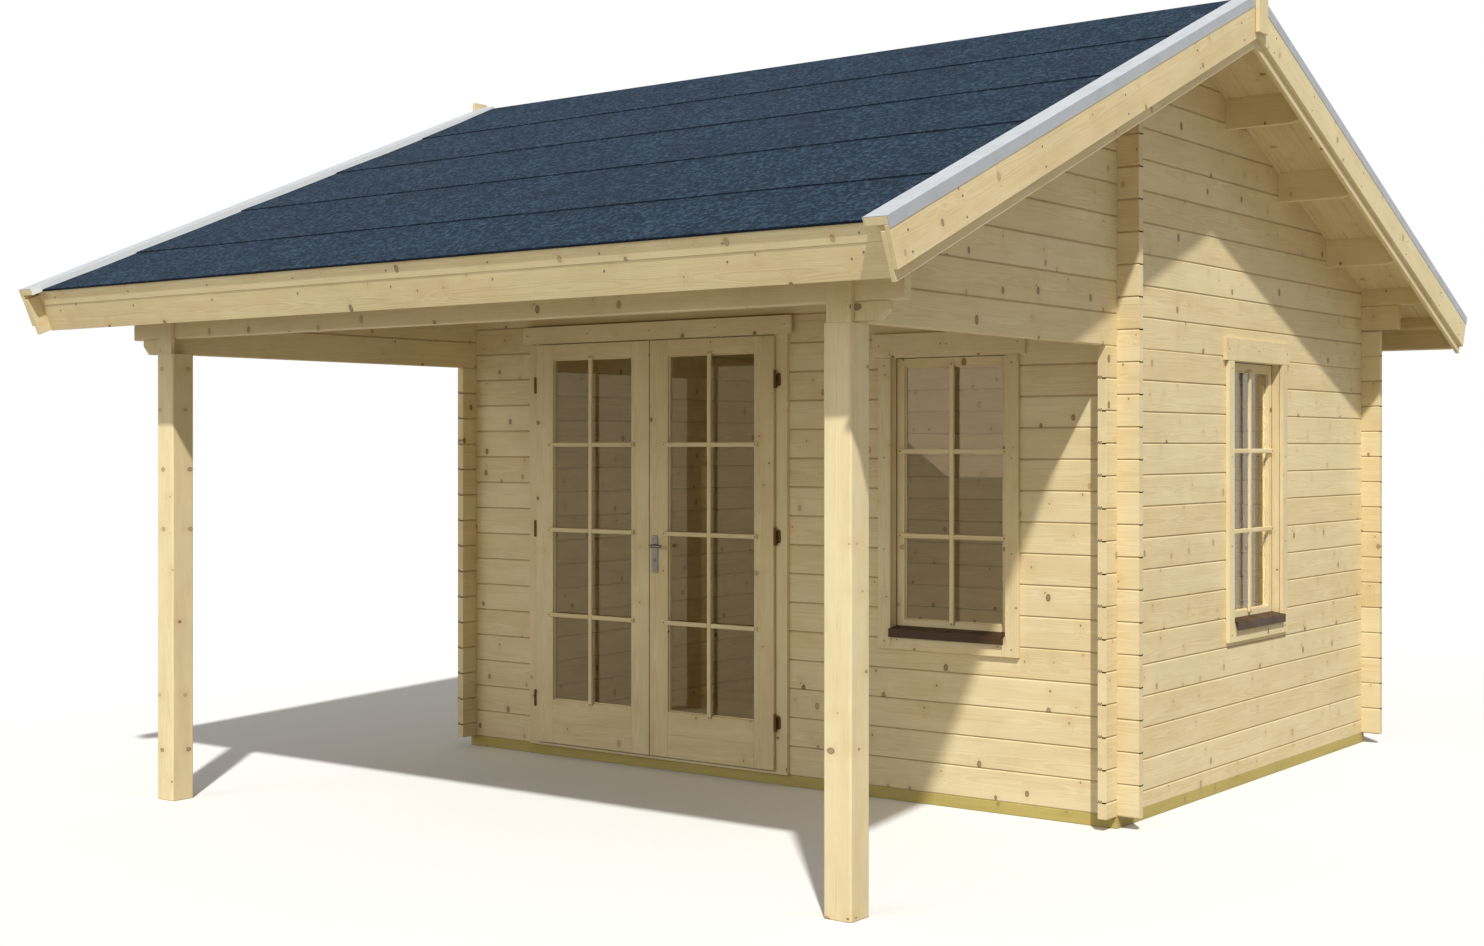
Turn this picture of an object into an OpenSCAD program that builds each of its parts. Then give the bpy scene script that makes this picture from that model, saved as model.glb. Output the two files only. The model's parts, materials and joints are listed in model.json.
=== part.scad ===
// Log cabin: one closed room of interlocking logs, with a gabled roof
// that runs forward over an open porch on two posts.

/* [Cabin] */
// Width over the outer faces of the side walls
cabin_w = 3800; // [3400:10:4600]
// Depth of the closed room over the outer faces of its walls
room_d = 3000; // [2400:10:3800]
// Depth of the porch, from the front wall to the front of the posts
porch_d = 2000; // [1400:10:2600]

/* [Logs] */
// Thickness of a wall log
log_t = 40; // [34:1:60]
// Height of one course of logs
log_h = 136; // [120:1:146]
// Length of a log end beyond the wall that it crosses
log_end = 100; // [60:5:150]
// Length of the top logs that carry the eaves, beyond the wall that they cross
corbel = 200; // [120:5:300]
// Depth of the V groove between two courses
groove = 5; // [2:0.5:8]

/* [Base] */
// Height of the foundation beams
beam_h = 52; // [40:1:80]
// Width of the foundation beams
beam_w = 70; // [60:1:100]
// Number of bearers under the floor, between the outer beams
bearers = 4; // [2:1:8]
// Thickness of the floor boards
floor_t = 19; // [16:1:28]

/* [Roof] */
// Pitch of the roof in degrees
pitch = 22.8; // [20:0.1:25]
// Height of the eave plates above the logs that carry them
plate_h = 74; // [60:1:120]
// Reach of the roof boards beyond the porch front and the rear wall
eave_reach = 337; // [250:1:450]
// Reach of the roof beyond the side walls, to the outer face of the verge
verge_reach = 420; // [300:5:500]
// Thickness of the roof boards
deck_t = 19; // [16:1:28]
// Thickness of the roofing felt
felt_t = 4; // [2:0.5:6]
// Width of a strip of felt that shows
felt_pace = 662; // [500:1:800]
// Width of the top strip of felt that shows on each slope
felt_first = 580; // [400:1:700]
// Rise of the felt where it folds over the ridge
felt_fold = 14; // [0:1:18]
// Step where one strip of felt laps over the next
felt_lap = 3; // [1:0.5:5]
// Length of the felt past the eave
felt_past = 6; // [2:1:20]

/* [Verges] */
// Width of the edge strip along each verge
strip_w = 88; // [70:1:160]
// Thickness of the edge strip along each verge
strip_t = 28; // [20:1:40]
// Thickness of the metal cap on the edge strip
cap_t = 2; // [1:0.5:4]
// Height of that cap's outer leg
cap_leg = 42; // [32:1:60]
// Thickness of the verge boards and the lower eave boards
board_t = 18; // [14:1:25]
// Depth of the outer verge board below the roof boards
verge_drop = 126; // [90:1:150]
// Length that the inner verge board shows below the outer one
verge_step = 40; // [15:1:60]
// Length of the verge boards past the end of the roof boards
verge_past = 82; // [40:1:100]
// Width of the board over the peak of each verge
apex_w = 100; // [60:1:140]
// Length of that board below the ridge of the roof boards
apex_drop = 124; // [80:1:150]
// Length of that board above the ridge of the roof boards
apex_rise = 76; // [60:1:110]

/* [Eaves] */
// Height of the lower eave board
eave_board_h = 122; // [90:1:150]
// Height of the upper eave board
eave_trim_h = 68; // [40:1:90]
// Thickness of the upper eave board
eave_trim_t = 20; // [18:1:36]
// Height of the batten behind the eave boards
batten_h = 60; // [55:1:90]
// Thickness of the batten behind the eave boards
batten_t = 40; // [28:1:60]

/* [Purlins] */
// Distance between purlins, level
purlin_gap = 650; // [550:10:720]
// Depth of a purlin
purlin_h = 125; // [100:1:160]
// Most purlins on each slope, between ridge and eave
purlins = 3; // [2:1:3]
// Length of the rounded nose under a purlin's end
nose_len = 90; // [40:1:140]
// Height of that nose
nose_h = 28; // [10:1:40]

/* [Posts] */
// Side of a porch post
post_w = 115; // [90:1:150]
// Chamfer along the edges of a porch post
post_edge = 6; // [2:1:12]
// Width of the cheek in front of the beam, above each post
cheek_w = 103; // [80:1:115]
// Thickness of that cheek
cheek_t = 20; // [12:1:30]
// Length of the stub under each end of the beam
stub = 130; // [80:1:160]
// Length cut off the lower corner of that stub
stub_cut = 40; // [10:1:70]

/* [Door] */
// Distance of the doorway's centre from the outer face of the left wall
door_in = 1278; // [1180:1:1400]
// Width of one door leaf over its lip
leaf_w = 761; // [650:1:800]
// Height of a door leaf over its lip
leaf_h = 2060; // [1950:1:2070]
// Thickness of a door leaf
leaf_t = 40; // [36:1:50]
// Gap round each door leaf
leaf_gap = 6; // [5:0.5:8]
// Width of the lip by which a leaf laps over its frame
lip_w = 12; // [8:1:16]
// Thickness of that lip
lip_t = 13; // [10:1:18]
// Width of a door jamb
jamb_w = 72; // [55:1:90]
// Thickness of the door sill
sill_t = 12; // [8:1:18]
// Width of a leaf's stiles
stile_w = 115; // [90:1:130]
// Height of a leaf's top rail
top_rail_h = 78; // [60:1:110]
// Height of a leaf's bottom rail
kick_h = 226; // [150:1:300]
// Height of the lowest hinge above the foot of the leaf
hinge_low = 226; // [150:1:300]
// Height of the middle hinge above the foot of the leaf
hinge_middle = 1107; // [900:1:1200]
// Depth of the top hinge below the top of the leaf
hinge_top = 209; // [150:1:300]
// Height of the middle of the handle above the foot of the leaf
handle_h = 1000; // [900:1:1100]
// Distance of the handle from the meeting edge of the right leaf
handle_in = 36; // [30:1:60]

/* [Windows] */
// Distance of the front window's centre from the outer face of the right wall
front_window_in = 821; // [750:1:860]
// Centre of the side window from the ridge
side_window_y = 994; // [800:1:1300]
// Width of a window frame
window_w = 640; // [500:1:700]
// Height of a window frame
window_h = 1278; // [1000:1:1290]
// Height of the underside of the window frames
window_z = 752; // [700:1:780]
// Width of the window frame's own members
frame_w = 24; // [18:1:40]
// Depth of a window frame, inward from the face of the wall
frame_d = 75; // [70:1:100]
// Width of the sash members
sash_w = 42; // [36:1:60]
// Depth of a sash
sash_t = 34; // [28:1:36]
// Depth at which a sash sits behind the face of the wall
sash_in = 38; // [25:1:42]

/* [Trim] */
// Thickness of the trim boards
trim_t = 18; // [14:1:24]
// Width of the trim boards at the sides of a window
trim_w = 65; // [50:1:90]
// Height of the trim board over a window
head_trim_h = 108; // [80:1:130]
// Height of the trim board over the door
door_trim_h = 88; // [70:1:110]
// Length by which a head trim passes the pieces below it
trim_past = 32; // [10:1:50]
// Height of the trim board below a window
low_trim_h = 90; // [60:1:120]
// Reach of the drip sill beyond the trim boards
sill_out = 14; // [8:1:30]
// Height of the drip sill's front lip
sill_lip = 36; // [20:1:50]
// Fall of the drip sill from the sash to its lip
sill_fall = 11; // [6:1:20]

/* [Hidden] */
$fn = 48;
// Clearance between sloping faces that rest on each other
seat = 0.2;
// Gap between pieces of one kind, set end to end
split = 1;
eps = 0.01;
half_w = cabin_w / 2;
rear_y = (room_d + porch_d) / 2;
porch_y = -rear_y;
front_y = porch_y + porch_d;

// Course heights: the front and rear logs start whole, the side logs half a course lower
gable_z = beam_h + 14.5 * log_h;
beam_z = beam_h + 15 * log_h;
corbel_z = beam_h + 16 * log_h;
plate_z = beam_h + 17 * log_h;
beam_y = porch_y + cheek_t;

// Roof
rise = tan(pitch);
ridge_z = plate_z + plate_h + rear_y * rise;
tall = ridge_z + 500;
courses = ceil((tall - beam_h) / log_h);
// Height of the underside of the roof at a distance from the ridge
function roof_z(y) = ridge_z - abs(y) * rise;
// Point on the front slope: down it by s, out from its underside by n
function slope_pt(s, n) = [-s * cos(pitch) - n * sin(pitch), ridge_z - s * sin(pitch) + n * cos(pitch)];
// Point where the front slope meets the plane of the ridge, or one beside it
function ridge_pt(n, gap) = [-gap, roof_z(gap) + n / cos(pitch)];
eave_y = rear_y + eave_reach;
deck_len = eave_y / cos(pitch);
verge_len = deck_len + verge_past;
verge_x = half_w + verge_reach;
felt_x = verge_x - strip_w;
deck_x = verge_x - board_t;
purlin_x = deck_x - board_t;
deck_top = deck_t + seat;
strip_top = deck_top + strip_t;
felt_len = deck_len + eave_trim_t + felt_past;
felt_ends = concat([for (s = [felt_first : felt_pace : felt_len - felt_pace / 4]) s], [felt_len]);
purlin_rows = [for (k = [1 : purlins]) if (k * purlin_gap < rear_y - purlin_gap / 2) k * purlin_gap];
nose_steps = 6;

// Doorway, drawn from its middle
door_x = door_in - half_w;
leaf_z = beam_h + sill_t + leaf_gap;
leaf_top = leaf_z + leaf_h;
leaf_x0 = leaf_gap / 2;
lip_half = leaf_w + leaf_gap / 2;
leaf_x1 = lip_half - lip_w;
door_half = leaf_x1 + leaf_gap;
door_top = leaf_top - lip_w + leaf_gap;
jamb_x = door_half + jamb_w;
head_z = door_top + jamb_w;
frame_out = 18;
frame_y = front_y - frame_out;
lip_gap = 5;
leaf_y = frame_y - lip_gap - lip_t;

// Hinges and handle
knuckle_r = 7;
knuckle_h = 40;
pin_r = 3;
pin_fit = 0.1;
tab_w = 24;
tab_h = 62;
tab_r = 11;
hinge_t = 3;
hinge_x = lip_half + knuckle_r + 1;
hinge_heights = [leaf_z + hinge_low, leaf_z + hinge_middle, leaf_top - hinge_top];
plate_w = 38;
plate_l = 186;
plate_t = 5;
plate_r = 8;
lever_r = 8;
lever_out = 42;
lever_l = 64;
lever_up = 42;

// Windows, drawn from the middle of their opening
pane_t = 4;
sheet_t = 2;
front_window_x = half_w - front_window_in;
window_left = front_window_x - window_w / 2;
window_right = front_window_x + window_w / 2;
window_front = side_window_y - window_w / 2;
window_rear = side_window_y + window_w / 2;
window_top = window_z + window_h;
clear_x = window_w / 2 - frame_w;
clear_z = window_z + frame_w;
clear_top = window_top - frame_w;
pane_x = clear_x - sash_w;

pine = "#e3cf9c";
green_pine = "#b3ab4f";
dark_pine = "#cdb47c";
felt_blue = "#32465c";
iron = "#3c3a38";
clear_glass = [0.54, 0.56, 0.53, 0.4];

// Carries a flat shape drawn in (Y, Z) along X
module along_x(x0, x1) {
    translate([x0, 0, 0]) rotate([90, 0, 90]) linear_extrude(x1 - x0) children();
}

// Carries a flat shape drawn in (X, Z) along Y
module along_y(y0, y1) {
    translate([0, y1, 0]) rotate([90, 0, 0]) linear_extrude(y1 - y0) children();
}

module box(x0, x1, y0, y1, z0, z1) {
    translate([x0, y0, z0]) cube([x1 - x0, y1 - y0, z1 - z0]);
}

module both_sides() {
    children();
    mirror([1, 0, 0]) children();
}

module both_slopes() {
    children();
    mirror([0, 1, 0]) children();
}

// Heights of the lines between courses, from z0 to z1
function course_lines(z0, z1, phase) =
    [for (k = [0 : courses]) let (z = beam_h + (k + phase) * log_h) if (z > z0 - eps && z < z1 + eps) z];

// Section through a stack of logs, from its outer face at 0 to its inner face
module log_section(z0, z1, phase) {
    difference() {
        translate([0, z0]) square([log_t, z1 - z0]);
        for (z = course_lines(z0, z1, phase), face = [0, log_t])
            translate([face, z]) rotate(45) square(groove * sqrt(2), center = true);
    }
}

// Logs that run along X, with their outer face at y
module logs_x(x0, x1, y, z0, z1) {
    translate([0, y, 0]) along_x(x0, x1) log_section(z0, z1, 0);
}

// Logs that run along Y, with their outer face at x on the right side
module logs_y(y0, y1, x, z0, z1) {
    translate([x - log_t, 0, 0]) along_y(y0, y1) log_section(z0, z1, 0.5);
}

// Space under the roof boards
module under_roof() {
    low = [eave_y, roof_z(eave_y)];
    along_x(-verge_x, verge_x)
        polygon([[-low.x, 0], [low.x, 0], low, [0, ridge_z], [-low.x, low.y]]);
}

// Where two walls cross at y, each log keeps the middle half of its height and the other
// wall's logs pass above and below it. These are the middle halves of the courses above z0.
module crossing(y, phase, z0) {
    both_sides() for (k = [-1 : courses]) {
        z = beam_h + (k + phase + 0.25) * log_h;
        if (z > z0) box(half_w - log_t, half_w, y, y + log_t, z, z + log_h / 2);
    }
}

// Cuts in the front and rear logs, where the side logs pass
module side_log_cuts(y) { crossing(y, 0.5, 0); }

// Cuts in the side logs, where the front and rear logs pass
module cross_log_cuts(y, z0 = 0) { crossing(y, 0, z0); }

module foundation_beams() {
    y0 = front_y + beam_w + split;
    y1 = rear_y - beam_w - split;
    pace = (2 * half_w - beam_w) / (bearers + 1);
    color(green_pine) {
        for (y = [front_y, rear_y - beam_w]) box(-half_w, half_w, y, y + beam_w, 0, beam_h);
        for (k = [0 : bearers + 1]) translate([-half_w + k * pace, 0, 0]) box(0, beam_w, y0, y1, 0, beam_h);
    }
}

module floor_boards() {
    x = half_w - log_t;
    color(pine) difference() {
        box(-x, x, front_y + log_t, rear_y - log_t, beam_h, beam_h + floor_t);
        door_frame_blank();
    }
}

// Front wall, split beside the doorway and the window and over them
module front_logs(x0, x1, z0, z1) {
    color(pine) difference() {
        logs_x(x0, x1, front_y, z0, z1);
        side_log_cuts(front_y);
    }
}
module front_wall_left() { front_logs(-half_w - log_end, door_x - jamb_x, beam_h, head_z); }
module front_wall_middle() { front_logs(door_x + jamb_x, window_left, beam_h, head_z); }
module front_wall_right() { front_logs(window_right, half_w + log_end, beam_h, head_z); }
module front_wall_below_window() { front_logs(window_left, window_right, beam_h, window_z); }
module front_wall_upper() {
    x = half_w + log_end;
    color(pine) difference() {
        intersection() {
            union() {
                front_logs(-x, x, head_z, tall);
                front_logs(window_left, window_right, window_top, head_z);
            }
            under_roof();
        }
        purlin_blanks();
    }
}

module rear_wall() {
    y = rear_y - log_t;
    color(pine) difference() {
        union() {
            logs_x(-half_w - log_end, half_w + log_end, y, beam_h, corbel_z);
            logs_x(-half_w - corbel, half_w + corbel, y, corbel_z, plate_z);
        }
        side_log_cuts(y);
    }
}

module side_logs(y0, y1, z0, z1) {
    color(pine) difference() {
        intersection() {
            logs_y(y0, y1, half_w, z0, z1);
            under_roof();
        }
        for (y = [front_y, rear_y - log_t]) cross_log_cuts(y);
    }
}
module right_wall_front() { side_logs(front_y - log_end, window_front, beam_h, gable_z); }
module right_wall_rear() { side_logs(window_rear, rear_y + log_end, beam_h, gable_z); }
module right_wall_below_window() { side_logs(window_front, window_rear, beam_h, window_z); }
module left_wall() { mirror([1, 0, 0]) side_logs(front_y - log_end, rear_y + log_end, beam_h, gable_z); }

// Gable logs, which run from the front beam to the rear wall
module gable() {
    color(pine) difference() {
        side_logs(beam_y, rear_y + log_end, gable_z, tall);
        cross_log_cuts(beam_y, beam_z);
        purlin_blanks();
    }
}
module left_gable() { mirror([1, 0, 0]) gable(); }
module right_gable() {
    difference() {
        union() {
            gable();
            if (window_top < gable_z) side_logs(window_front, window_rear, window_top, gable_z);
        }
        at_side_window() box(-window_w / 2, window_w / 2, -1, log_t + 1, window_z, window_top);
    }
}

module post() {
    side = post_w - 2 * post_edge;
    outline = [[side, post_w], [post_w, side], [post_w, -side], [side, -post_w],
               [-side, -post_w], [-post_w, -side], [-post_w, side], [-side, post_w]] / 2;
    color(pine) translate([half_w - post_w / 2, porch_y + post_w / 2, 0])
        linear_extrude(gable_z) polygon(outline);
}
module right_post() { post(); }
module left_post() { mirror([1, 0, 0]) post(); }

module front_beam() {
    x = half_w + corbel;
    color(pine) difference() {
        logs_x(-x, x, beam_y, beam_z, plate_z);
        side_log_cuts(beam_y);
    }
}

// Over each post: a cheek in front of the beam, and a stub below the beam's end
module post_heads() {
    x = half_w + stub;
    low_x = x - stub_cut;
    color(pine) both_sides() {
        box(half_w - cheek_w, half_w, porch_y, beam_y, gable_z, plate_z);
        along_y(beam_y, beam_y + log_t) polygon([
            [half_w, gable_z], [low_x, gable_z], [x, gable_z + stub_cut], [x, beam_z], [half_w, beam_z]]);
    }
}

// Purlin with a rounded nose at each end, from y, before its top is cut to the slope
module purlin_blank(y, z) {
    nose = [for (k = [0 : nose_steps]) let (t = k / nose_steps)
        [purlin_x - nose_len * (1 - t), z + nose_h * t * t]];
    back = [for (k = [nose_steps : -1 : 0]) [-nose[k].x, nose[k].y]];
    along_y(y, y + log_t) polygon(concat(nose, [[purlin_x, tall], [-purlin_x, tall]], back));
}
module ridge_blank() { purlin_blank(-log_t / 2, roof_z(log_t / 2) - purlin_h); }
module purlin_row() {
    both_slopes() for (y = purlin_rows) purlin_blank(-y - log_t / 2, roof_z(y + log_t / 2) - purlin_h);
    purlin_blank(beam_y, plate_z);
    purlin_blank(rear_y - log_t, plate_z);
}
module purlin_blanks() {
    ridge_blank();
    purlin_row();
}
module ridge_purlin() {
    color(pine) intersection() {
        ridge_blank();
        under_roof();
    }
}
module purlin_set() {
    color(pine) intersection() {
        purlin_row();
        under_roof();
    }
}

// Board on the front slope, square at its lower end and plumb at the ridge
module slope_board(n0, n1, len, x0, x1, gap = 0) {
    along_x(x0, x1)
        polygon([ridge_pt(n0, gap), slope_pt(len, n0), slope_pt(len, n1), ridge_pt(n1, gap)]);
}

// Board across the foot of the front slope
module eave_board(s0, s1, n0, n1) {
    along_x(-purlin_x, purlin_x)
        polygon([slope_pt(s0, n0), slope_pt(s1, n0), slope_pt(s1, n1), slope_pt(s0, n1)]);
}

module front_deck() { color(pine) slope_board(seat, deck_t, deck_len, -deck_x, deck_x); }
module rear_deck() { mirror([0, 1, 0]) front_deck(); }

// Felt in level strips, each of which laps over the one below it
module front_felt() {
    x = felt_x - cap_t - seat;
    top = deck_top + felt_t;
    peak = [ridge_pt(deck_top, 0), ridge_pt(top + felt_fold, 0)];
    steps = [for (s = felt_ends, lap = [felt_lap, 0]) slope_pt(s, top + lap)];
    color(felt_blue) along_x(-x, x) polygon(concat(peak, steps, [slope_pt(felt_len, deck_top)]));
}
module rear_felt() { mirror([0, 1, 0]) front_felt(); }

module outer_verge_boards() {
    color(pine) both_sides() both_slopes()
        slope_board(-verge_drop, deck_t, verge_len, deck_x, verge_x, split);
}
module inner_verge_boards() {
    color(dark_pine) both_sides() both_slopes()
        slope_board(-verge_drop - verge_step, 0, verge_len, purlin_x, deck_x, split);
}
module apex_boards() {
    x = verge_x + cap_t;
    color(pine) both_sides()
        box(x, x + board_t, -apex_w / 2, apex_w / 2, ridge_z - apex_drop, ridge_z + apex_rise);
}
module edge_strips() {
    color(pine) both_sides() both_slopes()
        slope_board(deck_top, strip_top, verge_len, felt_x, verge_x, split);
}
// Bent metal cap over the top and both sides of the edge strip, with its inner leg beside the felt
module edge_caps() {
    n = strip_top + seat;
    top = n + cap_t;
    color("#d5dadf") both_sides() both_slopes() {
        slope_board(n, top, verge_len, felt_x - cap_t, verge_x + cap_t, split);
        slope_board(top - cap_leg, top, verge_len, verge_x, verge_x + cap_t, split);
        slope_board(deck_top, top, verge_len, felt_x - cap_t, felt_x, split);
    }
}

module eave_boards() {
    s = deck_len + seat;
    n = deck_t - eave_trim_h - seat;
    color(pine) both_slopes() eave_board(s, s + board_t, n - eave_board_h, n);
}
module eave_trims() {
    s = deck_len + seat;
    color(pine) both_slopes() eave_board(s, s + eave_trim_t, deck_t - eave_trim_h, deck_t);
}
module eave_battens() {
    color(pine) both_slopes() eave_board(deck_len - batten_t, deck_len, -batten_h, 0);
}

// Places a piece in the doorway, drawn from its middle
module in_doorway() { translate([door_x, 0, 0]) children(); }
module in_left_half() { in_doorway() mirror([1, 0, 0]) children(); }

module door_frame_blank() {
    in_doorway() box(-jamb_x, jamb_x, frame_y, front_y + log_t + frame_out, beam_h, head_z);
}
module door_frame() {
    color(pine) difference() {
        door_frame_blank();
        in_doorway() box(-door_half, door_half, frame_y - 1, front_y + log_t + frame_out + 1,
                         beam_h + sill_t, door_top);
    }
}

// Plate with rounded corners against the face at y, round a point of it
module rounded_plate(x, y, z, w, h, r, t) {
    flat_w = w - 2 * r;
    flat_h = h - 2 * r;
    along_y(y - t, y) translate([x, z]) {
        square([w, flat_h], center = true);
        square([flat_w, h], center = true);
        for (dx = [-1, 1], dz = [-1, 1]) translate([dx * flat_w, dz * flat_h] / 2) circle(r);
    }
}

// Hinges: the frame carries a tab, the lower knuckle and the pin; the upper knuckle
// is fixed to the edge of the leaf's lip
module frame_hinge(z) {
    x0 = hinge_x - hinge_t / 2;
    foot = z - knuckle_h;
    translate([hinge_x, leaf_y, foot]) cylinder(r = knuckle_r, h = knuckle_h);
    translate([hinge_x, leaf_y, z - 1]) cylinder(r = pin_r, h = knuckle_h - 4);
    box(x0, x0 + hinge_t, leaf_y, frame_y, foot, z);
    rounded_plate(x0 + tab_w / 2, frame_y, z, tab_w, tab_h, tab_r, hinge_t);
}
module frame_hinges() {
    color(iron) in_doorway() both_sides() for (z = hinge_heights) frame_hinge(z);
}
module leaf_hinge(z) {
    foot = z + 3 * pin_fit;
    difference() {
        union() {
            translate([hinge_x, leaf_y, foot]) cylinder(r = knuckle_r, h = knuckle_h);
            box(lip_half, hinge_x, leaf_y, leaf_y + 2 * hinge_t, foot, foot + knuckle_h);
        }
        translate([hinge_x, leaf_y, z - 1]) cylinder(r = pin_r + pin_fit, h = knuckle_h + 3);
    }
}
module leaf_hinges() {
    color(iron) for (z = hinge_heights) leaf_hinge(z);
}

// Right leaf: its lip laps over the jamb and the head
module leaf_opening(y0, y1) {
    box(leaf_x0 + stile_w, lip_half - stile_w, y0, y1, leaf_z + kick_h, leaf_top - top_rail_h);
}
module leaf_shape() {
    color(pine) difference() {
        union() {
            box(leaf_x0, leaf_x1, leaf_y, leaf_y + leaf_t, leaf_z, leaf_top - lip_w);
            box(leaf_x0, lip_half, leaf_y, leaf_y + lip_t, leaf_z, leaf_top);
        }
        leaf_opening(leaf_y - 1, leaf_y + leaf_t + 1);
    }
}
module leaf_pane() {
    y = leaf_y + (leaf_t - pane_t) / 2;
    color(clear_glass) leaf_opening(y, y + pane_t);
}
module right_door() { in_doorway() leaf_shape(); }
module left_door() { in_left_half() leaf_shape(); }
module right_door_glass() { in_doorway() leaf_pane(); }
module left_door_glass() { in_left_half() leaf_pane(); }
module right_door_hinges() { in_doorway() leaf_hinges(); }
module left_door_hinges() { in_left_half() leaf_hinges(); }

// Lever on a long plate, at the edge of the right leaf
module door_handle() {
    x = leaf_x0 + handle_in;
    z = leaf_z + handle_h;
    color("#a9adb3") in_doorway() {
        rounded_plate(x, leaf_y, z, plate_w, plate_l, plate_r, plate_t);
        translate([x, leaf_y - lever_out, z + lever_up]) {
            rotate([-90, 0, 0]) cylinder(r = lever_r, h = lever_out);
            sphere(lever_r);
            rotate([0, 90, 0]) cylinder(r = lever_r, h = lever_l);
            translate([lever_l, 0, 0]) sphere(lever_r);
        }
    }
}

// Places a window drawn round the middle of its opening, with the wall's outer face at y = 0
module at_front_window() { translate([front_window_x, front_y, 0]) children(); }
module at_side_window() { translate([half_w, side_window_y, 0]) rotate(90) children(); }
module at_windows() {
    at_front_window() children();
    at_side_window() children();
}

// Four members round an opening of half width x, from z0 to z1
module ring(x, z0, z1, rim, y0, y1) {
    difference() {
        box(-x - rim, x + rim, y0, y1, z0 - rim, z1 + rim);
        box(-x, x, y0 - 1, y1 + 1, z0, z1);
    }
}
module window_frames() { color(pine) at_windows() ring(clear_x, clear_z, clear_top, frame_w, 0, frame_d); }
module window_sashes() {
    color(pine) at_windows()
        ring(pane_x, clear_z + sash_w, clear_top - sash_w, sash_w, sash_in, sash_in + sash_t);
}
module window_glass() {
    y = sash_in + (sash_t - pane_t) / 2;
    color(clear_glass) at_windows() box(-pane_x, pane_x, y, y + pane_t, clear_z + sash_w, clear_top - sash_w);
}
module window_trim() {
    z0 = clear_z - low_trim_h;
    side = clear_x + trim_w;
    both_sides() box(clear_x, side, -trim_t, 0, z0, clear_top - split);
    box(-side - trim_past, side + trim_past, -trim_t, 0, clear_top, clear_top + head_trim_h);
    box(-clear_x + split, clear_x - split, -trim_t, 0, z0, clear_z);
}
module door_head_trim() {
    x = jamb_x + trim_past;
    z = leaf_top + leaf_gap;
    in_doorway() box(-x, x, frame_y - trim_t, frame_y, z, z + door_trim_h);
}
module trim_boards() {
    color(pine) {
        at_windows() window_trim();
        door_head_trim();
    }
}

// Bent metal sill: a plate that falls from the sash to a lip in front of the trim
module window_sills() {
    out = -trim_t - sill_out;
    z0 = clear_z + split;
    z1 = z0 + sill_fall;
    color("#5a2f22") at_windows() along_x(-clear_x + split, clear_x - split) polygon([
        [sash_in, z1], [sash_in, z1 + sheet_t], [out - sheet_t, z0 + sheet_t],
        [out - sheet_t, z0 - sill_lip], [out, z0 - sill_lip], [out, z0]]);
}

foundation_beams();
floor_boards();  // floor
front_wall_left();
front_wall_middle();
front_wall_right();
front_wall_below_window();
front_wall_upper();
rear_wall();
left_wall();
left_gable();
right_wall_front();
right_wall_rear();
right_wall_below_window();
right_gable();
left_post();
right_post();
front_beam();
post_heads();
ridge_purlin();
purlin_set();
front_deck();
rear_deck();
front_felt();
rear_felt();
outer_verge_boards();
inner_verge_boards();
apex_boards();
edge_strips();
edge_caps();
eave_boards();
eave_trims();
eave_battens();
door_frame();
frame_hinges();
left_door();
left_door_glass();
left_door_hinges();
right_door();
right_door_glass();
right_door_hinges();
door_handle();
window_frames();
window_sashes();
window_glass();
trim_boards();
window_sills();
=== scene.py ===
"""Looks of the log cabin: single logs and boards with grain, felt strips, bars, fixings and materials."""

import json
import math
import random
from itertools import product

import bmesh
import bpy
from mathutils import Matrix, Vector, noise


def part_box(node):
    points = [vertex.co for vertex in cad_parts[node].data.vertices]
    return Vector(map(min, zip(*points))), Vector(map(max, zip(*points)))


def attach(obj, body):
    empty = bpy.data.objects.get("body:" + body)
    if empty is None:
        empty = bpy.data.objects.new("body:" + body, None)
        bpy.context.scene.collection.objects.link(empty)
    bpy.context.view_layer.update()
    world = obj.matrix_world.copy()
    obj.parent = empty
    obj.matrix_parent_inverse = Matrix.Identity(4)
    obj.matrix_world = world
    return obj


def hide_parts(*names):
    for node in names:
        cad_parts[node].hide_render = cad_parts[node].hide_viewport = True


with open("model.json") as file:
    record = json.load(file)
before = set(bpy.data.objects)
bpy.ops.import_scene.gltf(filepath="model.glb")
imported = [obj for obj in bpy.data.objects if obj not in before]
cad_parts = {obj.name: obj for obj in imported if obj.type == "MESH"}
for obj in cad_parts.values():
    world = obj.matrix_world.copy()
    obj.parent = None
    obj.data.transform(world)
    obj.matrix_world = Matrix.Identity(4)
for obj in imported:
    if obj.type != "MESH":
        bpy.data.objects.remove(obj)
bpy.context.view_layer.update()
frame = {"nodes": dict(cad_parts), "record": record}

# Driving dimensions, in metres, and the roof's pitch
PITCH = math.radians(22.8)
LOG_H = 0.136
LOG_T = 0.040
GROOVE = 0.0055
BOARD_W = 0.096
BOARD_T = 0.019
JOINT = 0.004
EDGE = 0.0015
WORN_EDGE = 0.002
FLOOR_EDGE = 0.001
SAW = 0.00002
SEAT = 0.0002
PROUD = 0.0003
CAP_SIDE = 0.001

# How near points or planes count as one
WELD = 1e-5
ON_PLANE = 1e-4
ON_CUT = 1e-6

# Directions seen from the porch
RIGHT = Vector((1.0, 0.0, 0.0))
BACK = Vector((0.0, 1.0, 0.0))
UP = Vector((0.0, 0.0, 1.0))

# What the frame says
BEAM_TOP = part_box("foundation_beams")[1].z
RIDGE_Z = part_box("ridge_purlin")[1].z
CAP_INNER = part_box("front_felt")[1].x + CAP_SIDE
BODY_OF = {n: body for body, nodes in frame["record"]["behaviour"]["bodies"].items() for n in nodes}
SLOT_OF = {p["node"]: p["material_slot"] for p in frame["record"]["subparts"]}

# One source of chance, which draws the same each run
RANDOM = random.Random(7)


# Node trees

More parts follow.
